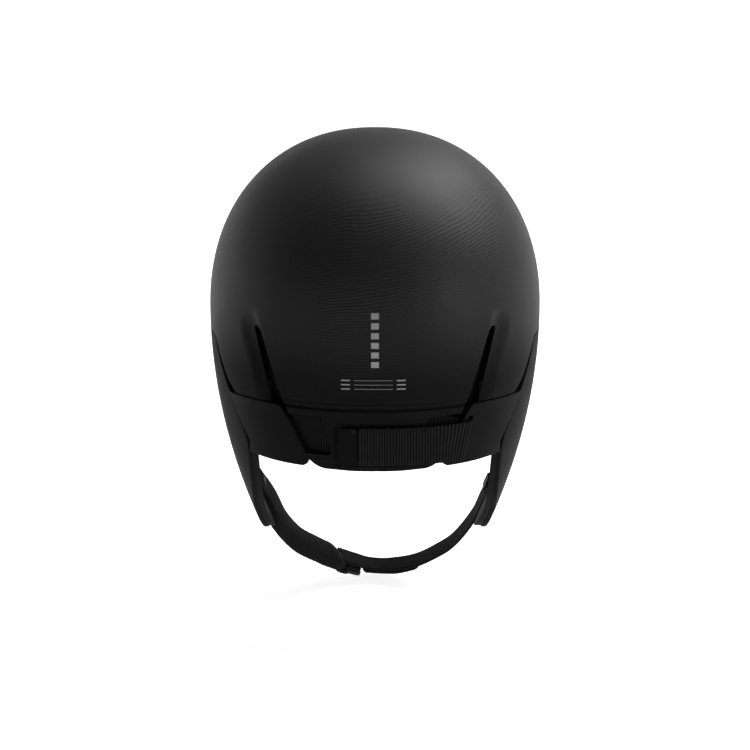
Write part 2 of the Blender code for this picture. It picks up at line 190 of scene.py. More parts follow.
def new_object(name, bm):
    mesh = bpy.data.meshes.new(name)
    bm.to_mesh(mesh)
    bm.free()
    obj = bpy.data.objects.new(name, mesh)
    bpy.context.scene.collection.objects.link(obj)
    return obj


def finish_mesh(name, bm, look, width=0.0, segments=3, angle=0.7):
    """Make an object of a bmesh, with smooth shading and its marked edges rounded."""
    obj = new_object(name, bm)
    if width:
        bevel = obj.modifiers.new("round", "BEVEL")
        bevel.limit_method = "WEIGHT"
        bevel.width = width
        bevel.segments = segments
        settle(obj)
    obj.data.materials.clear()
    obj.data.materials.append(look)
    obj.data.shade_smooth()
    obj.data.set_sharp_from_angle(angle=angle)
    return obj


def settle(obj):
    """Apply every modifier."""
    bpy.context.view_layer.update()
    graph = bpy.context.evaluated_depsgraph_get()
    mesh = bpy.data.meshes.new_from_object(obj.evaluated_get(graph))
    obj.modifiers.clear()
    obj.data = mesh
    return obj


def slab(name, look, columns, rows, place, rounding=0.0006, segments=3, keep=None, seam=None, ring=False,
         uv=None, angle=0.7):
    """A slab on a grid: place(i, j, w) is a point of its outer (w = 0) or inner (w = 1) face.

    keep(i, j) says which faces are made, seam(point, point) which rim edges stay sharp, and uv(i, j) lays the
    texture plane.
    """
    bm = bmesh.new()
    weight = bm.edges.layers.float.new("bevel_weight_edge")
    layers = [[[None] * rows for _ in range(columns)] for _ in range(2)]
    faces = [(i, j) for i in range(columns if ring else columns - 1) for j in range(rows - 1)
             if keep is None or keep(i, j)]
    for i, j in faces:
        for di, dj in ((0, 0), (1, 0), (1, 1), (0, 1)):
            a, b = (i + di) % columns, j + dj
            if layers[0][a][b] is None:
                for w in (0, 1):
                    layers[w][a][b] = bm.verts.new(place(a, b, w))
    uv_layer = bm.loops.layers.uv.new("UVMap") if uv else None
    for i, j in faces:
        a = (i + 1) % columns
        around = ((i, j), (a, j), (a, j + 1), (i, j + 1))
        for w in (0, 1):
            corners = around if w else around[::-1]
            face = bm.faces.new([layers[w][p][q] for p, q in corners])
            if uv:
                for loop, (p, q) in zip(face.loops, corners):
                    loop[uv_layer].uv = uv(p, q)
    inner_of, place_of = {}, {}
    for i in range(columns):
        for j in range(rows):
            outer = layers[0][i][j]
            if outer is not None:
                inner_of[outer], place_of[outer] = layers[1][i][j], (i, j)
    rims = [e for e in bm.edges if len(e.link_faces) == 1 and all(v in inner_of for v in e.verts)]
    for e in rims:
        a, b = e.verts
        for loop in e.link_loops:
            if loop.vert is a:
                a, b = b, a
        wall = bm.faces.new((a, b, inner_of[b], inner_of[a]))
        if uv:
            for loop in wall.loops:
                spot = loop.vert if loop.vert in place_of else (a if loop.vert is inner_of[a] else b)
                loop[uv_layer].uv = uv(*place_of[spot])
        if seam is None or not seam(a.co, b.co):
            e[weight] = 1.0
            twin = bm.edges.get((inner_of[a], inner_of[b]))
            if twin:
                twin[weight] = 1.0
    bmesh.ops.remove_doubles(bm, verts=bm.verts, dist=1e-6)
    if bm.calc_volume(signed=True) < 0:
        bmesh.ops.reverse_faces(bm, faces=bm.faces)
    for v in bm.verts:
        sharp = [e for e in v.link_edges if len(e.link_faces) == 2 and e.calc_face_angle(0) > 1.0]
        if len(sharp) > 2:
            for e in sharp:
                if e[weight] == 0 and (seam is None or not seam(e.verts[0].co, e.verts[1].co)):
                    e[weight] = 1.0
    return finish_mesh(name, bm, look, rounding, segments, angle)


def cut(target, cutter):
    boolean = target.modifiers.new("cut", "BOOLEAN")
    boolean.operation = "DIFFERENCE"
    boolean.solver = "EXACT"
    boolean.object = cutter
    settle(target)
    bpy.data.objects.remove(cutter, do_unlink=True)
    target.data.shade_smooth()
    target.data.set_sharp_from_angle(angle=0.7)
    return target


def join_rings(bm, one, other):
    """Faces between two closed rings of the same number of vertices."""
    for k in range(len(one)):
        n = (k + 1) % len(one)
        bm.faces.new((one[n], one[k], other[k], other[n]))


def prism(outline, sweep):
    """A solid swept from an outline of points by a vector, to cut with."""
    bm = bmesh.new()
    front = [bm.verts.new(p) for p in outline]
    back = [bm.verts.new(Vector(p) + Vector(sweep)) for p in outline]
    bm.faces.new(front)
    bm.faces.new(back[::-1])
    join_rings(bm, front, back)
    bmesh.ops.recalc_face_normals(bm, faces=bm.faces)
    return new_object("cutter", bm)


CUT_NEAR, CUT_FAR = -0.16, -0.07


def cut_back(target, corners, radii):
    """Cut an opening with rounded corners, given as (x, z), through the back of a piece."""
    outline = [(x, CUT_NEAR, z) for x, z in rounded(corners, radii)]
    return cut(target, prism(outline, (0, CUT_FAR - CUT_NEAR, 0)))


def rounded(corners, radii, steps=5):
    """An outline with each corner turned into an arc."""
    out = []
    for k, here in enumerate(corners):
        here = Vector(here)
        before, after = Vector(corners[k - 1]), Vector(corners[(k + 1) % len(corners)])
        a = here + (before - here).normalized() * radii[k]
        b = here + (after - here).normalized() * radii[k]
        for s in range(steps + 1):
            t = s / steps
            out.append(tuple(a * (1 - t) ** 2 + here * 2 * t * (1 - t) + b * t * t))
    return out


def fit(piece, body, slot, *nodes):
    """Tie a finished piece to its body and hide the solids that it stands for; slot is not used."""
    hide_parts(*nodes)
    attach(piece, body)


def spread(start, end, count):
    return [start + (end - start) * k / (count - 1) for k in range(count)]


# ---------------- materials

def mapped(tree, value, low, high, at_low=0.0, at_high=1.0, kind="SMOOTHSTEP"):
    """at_low where a value is low, at_high where it is high, and between them as the kind says."""
    node = tree.nodes.new("ShaderNodeMapRange")
    node.interpolation_type = kind
    node.inputs["From Min"].default_value = low
    node.inputs["From Max"].default_value = high
    node.inputs["To Min"].default_value = at_low
    node.inputs["To Max"].default_value = at_high
    tree.links.new(value, node.inputs["Value"])
    return node.outputs["Result"]


class Look:
    """A procedural material: a Principled shader with helpers that add nodes and wire them."""

    def __init__(self, name, roughness, metallic=0.0, specular=0.5, sheen=0.0):
        self.material = bpy.data.materials.new(name)
        self.material.use_nodes = True
        self.tree = self.material.node_tree
        self.nodes, self.links = self.tree.nodes, self.tree.links
        self.shader = self.nodes["Principled BSDF"]
        self.shader.inputs["Roughness"].default_value = roughness
        self.shader.inputs["Metallic"].default_value = metallic
        self.shader.inputs["Specular IOR Level"].default_value = specular
        self.shader.inputs["Sheen Weight"].default_value = sheen
        self.shader.inputs["Sheen Roughness"].default_value = 0.5
        self.coords = self.nodes.new("ShaderNodeTexCoord")
        self.place = self.coords.outputs["Object"]

    def math(self, kind, a, b=0.0, c=0.0):
        node = self.nodes.new("ShaderNodeMath")
        node.operation = kind
        for socket, value in zip(node.inputs, (a, b, c)):
            if isinstance(value, (int, float)):
                socket.default_value = value
            else:
                self.links.new(value, socket)
        return node.outputs[0]

    def parts(self, vector=None):
        node = self.nodes.new("ShaderNodeSeparateXYZ")
        self.links.new(vector or self.place, node.inputs[0])
        return node.outputs

    def noise(self, scale, detail=3.0):
        node = self.nodes.new("ShaderNodeTexNoise")
        node.inputs["Scale"].default_value = scale
        node.inputs["Detail"].default_value = detail
        self.links.new(self.place, node.inputs["Vector"])
        return node.outputs["Fac"]

    def cells(self, scale):
        node = self.nodes.new("ShaderNodeTexVoronoi")
        node.inputs["Scale"].default_value = scale
        self.links.new(self.place, node.inputs["Vector"])
        return node.outputs["Distance"]

    def ramp(self, value, low, high, at_low=0.0, at_high=1.0):
        return mapped(self.tree, value, low, high, at_low, at_high)

    def wave(self, value, pitch):
        """A 0 to 1 sine of a length."""
        turned = self.math("MULTIPLY", value, 2 * pi / pitch)
        return self.math("MULTIPLY_ADD", self.math("SINE", turned), 0.5, 0.5)

    def colour(self, dark, light, value):
        node = self.nodes.new("ShaderNodeMix")
        node.data_type = "RGBA"
        node.inputs["A"].default_value = (*dark, 1)
        node.inputs["B"].default_value = (*light, 1)
        self.links.new(value, node.inputs["Factor"])
        self.links.new(node.outputs["Result"], self.shader.inputs["Base Color"])

    def roughness(self, low, high, value):
        result = mapped(self.tree, value, 0.0, 1.0, low, high, "LINEAR")
        self.links.new(result, self.shader.inputs["Roughness"])

    def bump(self, height, distance, strength=1.0):
        node = self.nodes.new("ShaderNodeBump")
        node.inputs["Distance"].default_value = distance
        node.inputs["Strength"].default_value = strength
        self.links.new(height, node.inputs["Height"])
        previous = self.shader.inputs["Normal"].links
        if previous:
            self.links.new(previous[0].from_socket, node.inputs["Normal"])
        self.links.new(node.outputs["Normal"], self.shader.inputs["Normal"])

    def painted_edge_highlight(self):
        """1 on convex edges, 0 elsewhere: the mask of a painted highlight."""
        geometry = self.nodes.new("ShaderNodeNewGeometry")
        return self.ramp(geometry.outputs["Pointiness"], 0.52, 0.62)


def grey(level):
    return (level, level, level * 1.03)


def shell_look():
    """Matte black moulded shell: fine grain, and flowing contour lines that fade out towards the edges."""
    look = Look("matte_shell", 0.5, specular=0.30)
    x, y, z = look.parts()
    warp = look.noise(9.0, 2.0)
    flow = look.math("MULTIPLY_ADD", z, 0.93, look.math("MULTIPLY", x, -0.30))
    flow = look.math("MULTIPLY_ADD", warp, 0.040, flow)
    lines = look.wave(flow, 0.0019)
    back = look.ramp(y, -0.075, 0.010, 1.0, 0.0)
    off_middle = look.math("ABSOLUTE", look.math("SUBTRACT", x, 0.018))
    side = look.ramp(off_middle, 0.050, 0.088, 1.0, 0.0)
    top = look.ramp(z, 0.070, 0.104, 1.0, 0.0)
    low = look.ramp(z, -0.034, -0.010)
    shown = look.math("MULTIPLY", look.math("MULTIPLY", back, side), look.math("MULTIPLY", top, low))
    pattern = look.math("MULTIPLY", lines, shown)
    grain = look.noise(2600.0, 2.0)
    blotch = look.noise(26.0, 4.0)
    look.colour(grey(0.0040), grey(0.0090),
                look.math("MULTIPLY_ADD", pattern, 0.55, look.math("MULTIPLY", blotch, 0.5)))
    look.roughness(0.47, 0.60, blotch)
    look.links.new(look.ramp(z, -0.030, 0.070, 0.02, 0.31), look.shader.inputs["Specular IOR Level"])
    look.bump(pattern, 0.00010, 0.75)
    look.bump(grain, 0.00006, 0.6)
    return look.material


def moulded_look(name, level, roughness=0.55, grain_size=1800.0):
    """Plain moulded plastic with a fine grain, faint mottling and a painted highlight that makes its convex
    edges a little brighter.
    """
    look = Look(name, roughness, specular=0.025)
    blotch = look.noise(40.0, 4.0)
    # convex edges get a painted highlight in the colour
    edge = look.painted_edge_highlight()
    look.colour(grey(level * 0.85), grey(level * 1.5),
                look.math("MULTIPLY_ADD", edge, 0.35, look.math("MULTIPLY", blotch, 0.5)))
    look.roughness(roughness - 0.05, roughness + 0.08, blotch)
    look.bump(look.noise(grain_size, 2.0), 0.00008, 0.6)
    return look.material


def foam_look():
    """Closed-cell foam: dark, with a skin of small beads."""
    look = Look("cell_foam", 0.85, specular=0.10)
    beads = look.cells(420.0)
    look.colour(grey(0.004), grey(0.010), look.noise(180.0))
    look.roughness(0.78, 0.95, look.noise(60.0))
    look.bump(beads, 0.00035, 0.8)
    return look.material


def knit_look(name="stretch_knit", level=0.008):
    """Stretch fabric: two crossing fine ribs and a soft sheen."""
    look = Look(name, 0.9, specular=0.05, sheen=0.02)
    x, y, z = look.parts()
    along = look.wave(look.math("ADD", x, z), 0.0010)
    across = look.wave(look.math("SUBTRACT", look.math("ADD", y, z), x), 0.0010)
    weave = look.math("MULTIPLY", along, across)
    look.colour(grey(level * 0.7), grey(level * 1.7), look.math("MULTIPLY_ADD", weave, 0.5, look.noise(70.0)))
    look.bump(weave, 0.00018, 0.8)
    look.bump(look.noise(240.0), 0.0003, 0.35)
    return look.material


def woven_look(name, level, pitch=0.0011):
    """Woven webbing: diagonal twill laid by the strap's own length and width."""
    look = Look(name, 0.8, specular=0.05)
    run, side, _ = look.parts(look.coords.outputs["UV"])
    twill = look.wave(look.math("ADD", run, side), pitch)
    warp = look.wave(side, pitch * 1.6)
    weave = look.math("MULTIPLY", twill, look.math("MULTIPLY_ADD", warp, 0.6, 0.4))
    look.colour(grey(level * 0.6), grey(level * 1.9),
                look.math("MULTIPLY_ADD", look.noise(120.0), 0.4, weave))
    look.bump(weave, 0.00022, 0.9)
    look.bump(look.noise(900.0, 2.0), 0.0001, 0.5)
    return look.material


def elastic_look():
    """Ribbed elastic: threads run across the ribs; the ribs have a painted highlight and the hollows between
    them painted shade.
    """
    look = Look("ribbed_elastic", 0.72, specular=0.06)
    run, side, _ = look.parts(look.coords.outputs["UV"])
    top = look.wave(run, RIB_PITCH)
    thread = look.wave(side, 0.0008)
    # painted highlight along the ribs and painted shade in the hollows between them
    look.colour(grey(0.0008), grey(0.0115),
                look.math("MULTIPLY", top, look.math("MULTIPLY_ADD", thread, 0.4, 0.6)))
    look.bump(thread, 0.00012, 0.7)
    look.bump(look.noise(1100.0, 2.0), 0.0001, 0.5)
    return look.material


def steel_look():
    look = Look("brushed_steel", 0.35, metallic=1.0)
    look.colour(grey(0.30), grey(0.46), look.noise(300.0, 4.0))
    look.roughness(0.28, 0.45, look.noise(500.0, 4.0))
    look.bump(look.noise(1500.0), 0.00005, 0.5)
    return look.material


def mesh_look():
    """Perforated cover: rows of round holes."""
    look = Look("ear_cover", 0.6, specular=0.3)
    x, y, z = look.parts()
    rows = look.wave(y, 0.0019)
    columns = look.wave(z, 0.0019)
    holes = look.ramp(look.math("MULTIPLY", rows, columns), 0.30, 0.55)
    look.colour(grey(0.020), grey(0.0015), look.math("MULTIPLY_ADD", look.noise(90.0), 0.1, holes))
    look.bump(look.math("SUBTRACT", 1.0, holes), 0.0006)
    return look.material


def floor_look():
    look = Look("pale_floor", 0.9, specular=0.1)
    look.colour((0.88, 0.88, 0.88), (0.91, 0.91, 0.91), look.noise(3.0))
    look.shader.inputs["Emission Color"].default_value = (1, 1, 1, 1)
    look.shader.inputs["Emission Strength"].default_value = 0.80
    return look.material


SHELL_LOOK = shell_look()
BAND_LOOK = moulded_look("band_plastic", 0.0048, 0.52)
EAR_LOOK = moulded_look("ear_plastic", 0.0062, 0.6, 1400.0)
EAR_PAD_LOOK = moulded_look("ear_pad_skin", 0.0100, 0.62, 1100.0)
BUCKLE_LOOK = moulded_look("buckle_plastic", 0.010, 0.45)
TAB_LOOK = moulded_look("tab_plastic", 0.034, 0.42)
FOAM_LOOK = foam_look()
KNIT_LOOK = knit_look()
SLEEVE_LOOK = knit_look("sleeve_neoprene", 0.0055)
WEB_LOOK = woven_look("chin_webbing", 0.0060)
TAB_WEB_LOOK = moulded_look("strap_tab", 0.0035, 0.6)
ELASTIC_LOOK = elastic_look()
STEEL_LOOK = steel_look()
MESH_LOOK = mesh_look()
MARK_LOOK = moulded_look("printed_marks", 0.17, 0.6)


# ---------------- shell, flap and bands

def groove_level(behind):
    """Level of the groove, which runs on from the dome's lower edge across the flap."""
    return softened(SHELL_EDGE, max(behind, 0.0742), 0.0025) - 0.0005


BACK_COLUMNS = 121
SIDE_COLUMNS = 150
BACK_SHARES = spread(-1.0, 1.0, BACK_COLUMNS)
BACK_ANGLES = [back_angle(SLIT_TOP_X * s, HINGE_LEVEL) for s in BACK_SHARES]


def slit_edge(z):
    """Sideways place of the dome's side of a slit."""
    return slit_middle(z) + slit_half(z)


def flap_edge(z):
    """Sideways place of the flap's edge."""
    return slit_middle(z) - slit_half(z)


def dome_bottom(angle):
    """Level of the dome's lower edge: crisp beside the bands, soft over the ear flaps and brow."""
    behind = -at_azimuth(angle, 0.0).y
    return softened(SHELL_EDGE, behind, 0.0025 if behind > 0.030 else 0.0090)


def make_dome():
    """The dome, whole above the slits; below them it ends at each slit and leaves the flap's place open."""
    first, last = BACK_ANGLES[0], BACK_ANGLES[-1]
    around = spread(last, first + 2 * pi, SIDE_COLUMNS + 2)[1:-1]
    angles = BACK_ANGLES + around
    upper, lower = 50, 30
    rise_low = asin((HINGE_LEVEL / CROWN_HEIGHT) ** (CROWN_POWER / 2))
    heights = [CROWN_HEIGHT * sin(pi / 2 + (rise_low - pi / 2) * k / upper) ** (2 / CROWN_POWER)
               for k in range(upper + 1)]
    heights[0], heights[-1] = CROWN_HEIGHT, HINGE_LEVEL
    reach = 1.1
    inner_scale = (CROWN_HEIGHT - SHELL - HINGE_LEVEL) / (CROWN_HEIGHT - HINGE_LEVEL)

    def place(i, j, w):
        inset = SHELL if w else 0.0
        angle = angles[i]
        if j <= upper:
            z = heights[j]
            if w:
                z = HINGE_LEVEL + (z - HINGE_LEVEL) * inner_scale
        else:
            share = ((j - upper) / lower) ** 1.35
            z = HINGE_LEVEL + (dome_bottom(angle) - HINGE_LEVEL) * share
            right = (angle - last) / reach
            left = (first + 2 * pi - angle) / reach
            if i == BACK_COLUMNS - 1 or 0 <= right < 1 and i >= BACK_COLUMNS:
                near = max(1 - max(right, 0.0), 0.0) ** 2
                angle += (back_angle(slit_edge(z), z) - back_angle(SLIT_TOP_X, HINGE_LEVEL)) * near
            elif i == 0 or 0 <= left < 1 and i >= BACK_COLUMNS:
                near = max(1 - left, 0.0) ** 2 if i else 1.0
                angle += (back_angle(-slit_edge(z), z) - back_angle(-SLIT_TOP_X, HINGE_LEVEL)) * near
        point = at_azimuth(angle, z, inset)
        depth = scoop(point.x, point.z) if point.y < 0 and not w else 0.0
        return at_azimuth(angle, z, inset + depth) if depth else point

    def keep(i, j):
        return j < upper or i >= BACK_COLUMNS - 1

    def seam(a, b):
        return abs(a.z - HINGE_LEVEL) < 1e-6 and abs(b.z - HINGE_LEVEL) < 1e-6 and a.y < 0

    dome = slab("dome_skin", SHELL_LOOK, len(angles), upper + lower + 1, place, 0.0007, keep=keep, seam=seam,
                ring=True)
    fit(dome, "shell", "shell_plastic", "outer_shell")


RECESS_LEFT = -0.0245


def strap_recess(x, z):
    """Depth of the shallow seat of the strap's outer run."""
    edge = 0.0018
    tall = smooth(STRAP_BOTTOM - edge, STRAP_BOTTOM, z) * (1 - smooth(STRAP_TOP, STRAP_TOP + edge, z))
    return 0.0012 * tall * smooth(RECESS_LEFT - 0.0015, RECESS_LEFT + 0.0005, x)


def make_flap_skin():
    levels = spread(HINGE_LEVEL, 0.003, 9) + spread(0.0015, -0.031, 20)
    levels += spread(-0.0315, -0.0435, 25) + spread(-0.0440, RIM_LEVEL, 40)

    def lifted(x):
        """How far the lower edge rises into its round corners; it sags a little in the middle."""
        return corner_cut(0.0410 - abs(x), 0.0110) - 0.0009 * (1 - smooth(0.010, 0.032, abs(x)))

    def place(i, j, w):
        z = levels[j]
        z += lifted(BACK_SHARES[i] * flap_edge(z)) * smooth(-0.056, RIM_LEVEL, z)
        x = BACK_SHARES[i] * flap_edge(z)
        if w:
            return at_back(x, z, SHELL)
        above = z - groove_level(-at_back(x, z).y)
        lines = 0.0013 * exp(-(above / 0.0008) ** 2) + 0.0004 * exp(-((above - 0.0042) / 0.0007) ** 2)
        return at_back(x, z, lines + strap_recess(x, z) + scoop(x, z))

    def seam(a, b):
        return abs(a.z - HINGE_LEVEL) < 1e-6 and abs(b.z - HINGE_LEVEL) < 1e-6

    flap = slab("flap_skin", SHELL_LOOK, BACK_COLUMNS, len(levels), place, 0.0006, seam=seam)
    for side in (-1, 1):
        corners = [(side * 0.0268, WINDOW_BOTTOM), (side * 0.0328, WINDOW_TOP), (side * 0.075, WINDOW_TOP),
                   (side * 0.075, WINDOW_BOTTOM)]
        cut_back(flap, corners, (0.0028, 0.0022, 0.001, 0.001))
    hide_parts("rear_flap")
    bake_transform(flap)


def make_marks():
    """Plain pale marks on the back: a column of small blocks, and three rows of rules."""
    spots = [(-0.0024, 0.0024, level, 0.0019) for level in spread(0.0215, -0.0090, 6)]
    for level in (-0.0193, -0.0221, -0.0249):
        spots += [(-0.0210, -0.0155, level, 0.0004), (0.0135, 0.0190, level, 0.0004),
                  (-0.0130, 0.0110, level, 0.00012)]
    proud, deep = -0.00006, 0.0003
    bm = bmesh.new()
    for left, right, level, half in spots:
        columns = max(2, int((right - left) / 0.0012))
        low, high = level - half, level + half
        corners = ((low, proud), (high, proud), (high, deep), (low, deep))
        rings = [[bm.verts.new(at_back(x, *corner)) for corner in corners]
                 for x in spread(left, right, columns + 1)]
        bm.faces.new(rings[0])
        bm.faces.new(rings[-1][::-1])
        for one, other in zip(rings, rings[1:]):
            join_rings(bm, one, other)
    bmesh.ops.recalc_face_normals(bm, faces=bm.faces)
    marks = finish_mesh("plain_marks", bm, MARK_LOOK)
    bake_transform(marks)


BAND_RIM = -0.0785
BAND_TOP = -0.0390


def make_band(side, word):
    """A rear band, from the flap's edge to the ear flap; the right one has the strap's slot."""
    rows, columns = 34, 44
    flex_drop = 0.0032
    seam_gap = 0.0008
    upper_round = 0.0045 if side > 0 else 0.0016

    def place(i, j, w):
        up = j / (rows - 1)
        share = i / (columns - 1)
        z = BAND_RIM + (BAND_TOP - BAND_RIM) * up
        near = between(FLAP_SIDE, z + flex_drop * up ** 2) + seam_gap
        far = at_side(between(FLAP_REAR_EDGE, z) + 2 * seam_gap, z, 0.0, side).x * side
        x = near + (far - near) * share
        top = groove_level(-at_back(x, z).y) - 0.0006
        round_low = 0.0050 * corner_cut(share / 0.11, 1.0)
        round_high = upper_round * corner_cut(share / 0.14, 1.0)
        z = BAND_RIM + round_low + (top - round_high - BAND_RIM - round_low) * up
        proud = -0.0004 * smooth(top - 0.006, top, z)
        return at_back(side * x, z, SHELL if w else proud)

    band = slab("band_skin_" + word, BAND_LOOK, columns, rows, place, 0.0008)
    if side > 0:
        top, low = STRAP_TOP + 0.0028, STRAP_BOTTOM - 0.0015
        lean = SLOT_SLANT * (top - STRAP_BOTTOM)
        corners = [(0.0535, low), (0.0535 + lean, top), (0.0564 + lean, top), (0.0564, low)]
        cut_back(band, corners, [0.0011] * 4)
    fit(band, "shell", "shell_plastic", "rear_band_" + word)


make_dome()
make_flap_skin()
make_marks()
make_band(-1, "left")
make_band(1, "right")


# ---------------- straps on the back

def distances(points):
    """The distance of each point along a line."""
    lengths = [0.0]
    for a, b in zip(points, points[1:]):
        lengths.append(lengths[-1] + (b - a).length)
    return lengths


def along_strap(route, spacing):
    """Spots of (sideways place, inset) at equal spacing on a route, each with its run and its distance."""
    points = [Vector(p) for p in route]
    lengths = distances(points)
    count = int(lengths[-1] / spacing)
    out = []
    for k in range(count + 1):
        s = lengths[-1] * k / count
        i = min(max(bisect(lengths, s), 1), len(points) - 1)
        t = (s - lengths[i - 1]) / (lengths[i] - lengths[i - 1])
        out.append((points[i - 1].lerp(points[i], t), (points[i] - points[i - 1]).normalized(), s))
    return out


HIDDEN_BOTTOM_RISE, HIDDEN_TOP_RISE = 0.0023, 0.0046


def hidden_share(x, inset):
    """0 where the strap lies outside, 1 where it lies behind the flap, and rising between."""
    return smooth(SHELL - 0.001, SHELL + 0.001, inset) * min(max((0.055 - x) / 0.013, 0.0), 1.0)


def make_elastic(name, route):
    """Ribbed elastic along a route of (sideways place, inset), with real ribs across it."""
    line = along_strap(route, RIB_PITCH / 8)
    rows = 7

    def place(i, j, w):
        spot, run, s = line[i]
        rib = 0.00042 * (0.5 - 0.5 * cos(2 * pi * s / RIB_PITCH)) ** 0.7
        ragged = 0.00018 * sin(2 * pi * s / RIB_PITCH + 0.6) + 0.00010 * sin(s * 1700)
        half = STRAP_THICK / 2 - 0.0003 + rib
        shift = half * (1 if w else -1)
        x = spot.x - run.y * shift
        inset = spot.y + run.x * shift
        up = j / (rows - 1)
        hidden = hidden_share(spot.x, spot.y)
        bottom, top = STRAP_BOTTOM + HIDDEN_BOTTOM_RISE * hidden, STRAP_TOP + HIDDEN_TOP_RISE * hidden
        z = bottom + (top - bottom) * up + ragged * (2 * up - 1)
        lean = min(max((x - 0.037) / 0.015, 0.0), 1.0)
        return at_back(x + lean * SLOT_SLANT * (z - STRAP_BOTTOM), z, inset)

    def uv(i, j):
        return line[i][2], (STRAP_TOP - STRAP_BOTTOM) * j / (rows - 1)

    return slab(name, ELASTIC_LOOK, len(line), rows, place, 0.0003, 2, uv=uv, angle=1.2)


def make_flex_strap():
    """Two runs that meet behind the flap's middle; the right one turns back out through the slot."""
    inner = SHELL + 0.0008 + STRAP_THICK / 2
    outer = -0.0013 - STRAP_THICK / 2
    turn = (inner - outer) / 2
    turn_x, turn_wide = 0.0520, 0.0042
    fold = [(x, inner) for x in spread(0.0, turn_x, 11)]
    for angle in spread(-pi / 2, pi / 2, 17)[1:-1]:
        fold.append((turn_x + turn_wide * cos(angle), inner - turn - turn * sin(angle)))
    fold += [(x, outer) for x in spread(turn_x, STRAP_END_X + 0.0003, 21)]
    run = make_elastic("flex_strap_run", fold)
    rear = make_elastic("flex_strap_inner", [(x, inner) for x in spread(-0.0625, 0.0, 21)])
    for piece, start_x, end_x in ((run, 0.0590, 0.0440), (rear, -0.0600, -0.0440)):
        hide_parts("flex_strap")
        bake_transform(piece)


def back_patch(name, look, left, right, low, high, face, back, columns, rows, rounding, swell=0.0, corner=0.0,
               share=lambda z: 1.0):
    """A patch over the back between sideways limits, levels and insets.

    swell puffs out its back, corner rounds its outline, and share(z) scales the limits from level to level.
    """
    def place(i, j, w):
        u, v = 2 * i / (columns - 1) - 1, 2 * j / (rows - 1) - 1
        z = (low + high) / 2 + (high - low) / 2 * v
        a, b = left * share(z), right * share(z)
        if corner:
            wide, tall = (b - a) / 2, (high - low) / 2
            dx, dz = max(abs(u) * wide - wide + corner, 0.0), max(abs(v) * tall - tall + corner, 0.0)
            reach = hypot(dx, dz)
            if reach > 1e-9:
                limit = max(dx, dz) / reach
                u = (1 if u >= 0 else -1) * (abs(u) * wide - dx * (1 - limit)) / wide
                z = (low + high) / 2 + (1 if v >= 0 else -1) * (abs(v) * tall - dz * (1 - limit))
        x = (a + b) / 2 + (b - a) / 2 * u
        puff = swell * ((1 - u ** 4) * (1 - v ** 4)) ** 0.5
        return at_back(x, z, back + puff if w else face)

    def uv(i, j):
        return (right - left) * share(0) * i / (columns - 1), (high - low) * j / (rows - 1)

    return slab(name, look, columns, rows, place, rounding, uv=uv)


def make_strap_end():
    """The smooth end of the fit strap, with its welded ledge, and the patch under it."""
    tab = back_patch("strap_end_skin", TAB_WEB_LOOK, END_TAB_X, STRAP_END_X - 0.0008, STRAP_BOTTOM, STRAP_TOP,
                     -0.0027, -0.0013, 14, 24, 0.0004, corner=0.0012)
    fit(tab, "strap_end", "webbing", "strap_end_tab")
    ledge = back_patch("strap_end_weld", BUCKLE_LOOK, END_TAB_X + 0.0078, STRAP_END_X - 0.0013,
                       STRAP_TOP - 0.0030, STRAP_TOP - 0.0008, -0.0030, -0.0027, 8, 4, 0.00012)
    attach(ledge, "strap_end")
    patch = back_patch("hook_patch_skin", SLEEVE_LOOK, END_TAB_X + 0.001, 0.0200, STRAP_BOTTOM + 0.002,
                       STRAP_TOP - 0.002, -0.0011, 0.0002, 24, 12, 0.0003, corner=0.002)
    fit(patch, "rear_flap_body", "webbing", "hook_patch")


make_flex_strap()
make_strap_end()


# ---------------- ear flaps

PORT_BEHIND, PORT_LEVEL = 0.012, -0.064
PORT_RADIUS, PORT_CUT = 0.0125, 0.06
COVER_RADIUS, COVER_INSET, COVER_THICK, COVER_DOME = 0.0119, 0.0046, 0.0011, 0.0004
RIM_START = 0.82
FLAP_END = -0.1495
FLAP_TOP = -0.0124
FLAP_THICK = 0.0026
PAD_TOP = -0.038
CORNER_REACH = 0.009
PIVOT_LEVEL = -0.021


def side_patch(name, look, side, low, high, face, back, columns, rows, rounding, margins=(0.0, 0.0),
               swell=0.0, thin_top=0.0, segments=3):
    """A patch with the outline of an ear flap, between two levels and two insets.

    margins set its front and rear edges back, swell puffs its back out towards the middle, and thin_top takes
    some of its thickness away above the flap's pivot.
    """
    def place(i, j, w):
        u = i / (columns - 1)
        v = 0.5 - 0.5 * cos(pi * j / (rows - 1))
        z = low + (high - low) * v
        narrow = corner_cut(z - low, 0.0095) + corner_cut(high - z, 0.0040)
        a = softened(FLAP_FRONT_EDGE, z, CORNER_REACH) + margins[0] + narrow
        b = softened(FLAP_REAR_EDGE, z, CORNER_REACH) - margins[1] - narrow
        puff = swell * (1 - (2 * u - 1) ** 6) * (1 - (2 * v - 1) ** 8)
        puff -= thin_top * smooth(PIVOT_LEVEL, PIVOT_LEVEL + 0.006, z)
        return at_side(a + (b - a) * u, z, back + puff if w else face, side)

    return slab(name, look, columns, rows, place, rounding, segments)


def circle(middle, radius, turns=48):
    """Points of a circle that faces sideways."""
    return [middle + Vector((0, radius * cos(2 * pi * k / turns), radius * sin(2 * pi * k / turns)))
            for k in range(turns)]


def make_port(target, side):
    port = at_side(PORT_BEHIND, PORT_LEVEL, 0.0, side)
    start = port - Vector((PORT_CUT / 2, 0, 0))
    cut(target, prism(circle(start, PORT_RADIUS), (PORT_CUT, 0, 0)))


